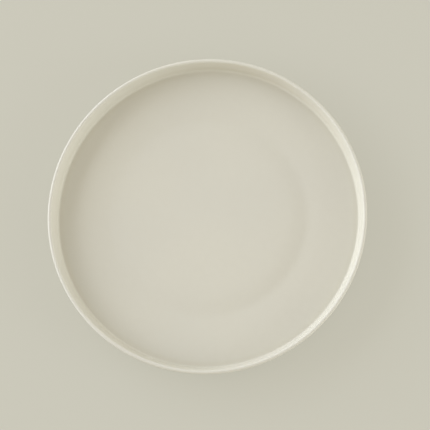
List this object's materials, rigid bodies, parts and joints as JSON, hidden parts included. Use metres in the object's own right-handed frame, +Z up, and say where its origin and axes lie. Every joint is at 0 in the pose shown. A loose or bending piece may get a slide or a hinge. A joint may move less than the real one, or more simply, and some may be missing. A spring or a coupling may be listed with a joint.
{
  "type": "pasta plate",
  "caption": "Round ivory porcelain plate with an upright, slightly flared rim, a rounded lip, a shallow flat well for food and a dry foot ring to stand on.",
  "frame": {"origin": "on the table under the centre of the plate, in the plane of the foot ring's standing face", "axes": "+Z up along the plate's axis, out of the eating side; the plate is round, so +X and +Y are free"},
  "size_m": [0.21, 0.21, 0.0195],
  "materials": {
    "fired_clay": "bare vitrified porcelain, fine and matt, pale cream, seen only on the standing ring",
    "ivory_glaze": "smooth glossy ivory glaze with a soft sheen"
  },
  "bodies": {
    "root": {"clay_body": "fired_clay", "face_glaze": "ivory_glaze", "base_glaze": "ivory_glaze"}
  },
  "joints": []
}
